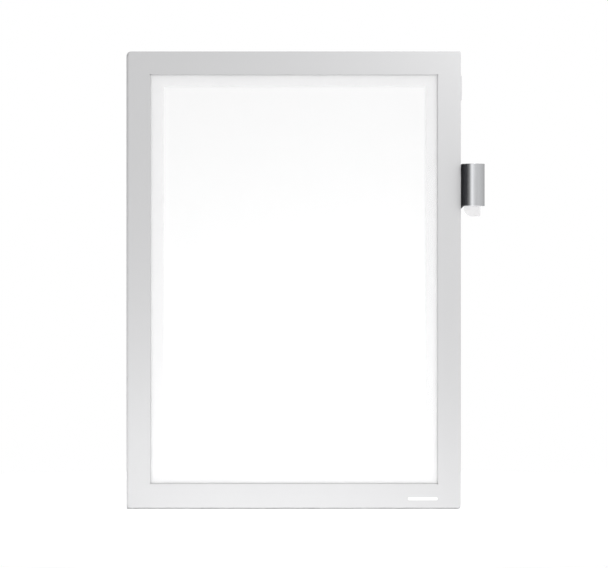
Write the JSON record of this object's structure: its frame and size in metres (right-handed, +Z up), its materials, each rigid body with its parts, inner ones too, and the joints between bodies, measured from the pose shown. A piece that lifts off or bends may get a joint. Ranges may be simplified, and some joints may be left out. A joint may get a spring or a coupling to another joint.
{
  "type": "magnetic document frame",
  "caption": "Slim wall frame for an A4 sheet: a silver magnetic front leaf opens like a door on a self-adhesive rear leaf, with a clear lip, an open middle and a sprung pen holder.",
  "frame": {"origin": "on the adhesive face at the back, at the middle of the rear leaf", "axes": "+Z up, +X to the right seen from the front, the front faces -Y and the adhesive face +Y"},
  "size_m": [0.2524, 0.0172, 0.323],
  "materials": {
    "silver_film": "satin silver metallised film",
    "clear_film": "clear glossy film",
    "magnet_strip": "matt flexible magnet",
    "hinge_film": "satin silver film, folded",
    "adhesive": "matt foam adhesive",
    "paper": "plain white paper",
    "pad": "matt foam tape",
    "steel": "polished strip steel",
    "anchor_plastic": "milky moulded plastic",
    "tongue_plastic": "milky translucent plastic",
    "mark_print": "white print"
  },
  "bodies": {
    "rear_leaf": {"adhesive_frame": "adhesive", "rear_border": "silver_film", "rear_film": "clear_film", "rear_magnet_top": "magnet_strip", "rear_magnet_bottom": "magnet_strip", "rear_magnet_left": "magnet_strip", "rear_magnet_right_upper": "magnet_strip", "rear_magnet_right_lower": "magnet_strip", "hinge_strip": "hinge_film", "insert_sheet": "paper", "holder_pad": "pad", "pen_sleeve": "steel", "tongue_anchor": "anchor_plastic"},
    "tongue": {"pen_tongue": "tongue_plastic"},
    "front_leaf": {"front_border": "silver_film", "front_film": "clear_film", "front_magnet_top": "magnet_strip", "front_magnet_bottom": "magnet_strip", "front_magnet_left": "magnet_strip", "front_magnet_right": "magnet_strip", "opening_tab": "silver_film", "plain_mark": "mark_print"}
  },
  "joints": [
    {"name": "leaf_hinge", "type": "hinge", "parent": "rear_leaf", "child": "front_leaf", "pos_m": [-0.11745, -0.0015, 0], "axis": [0, 0, -1], "range_deg": [0, 175]},
    {"name": "tongue_flex", "type": "hinge", "parent": "rear_leaf", "child": "tongue", "pos_m": [0.1263, -0.0061, 0.0764], "axis": [1, 0, 0], "range_deg": [0, 7], "stiffness_Nm_per_rad": 0.02}
  ]
}
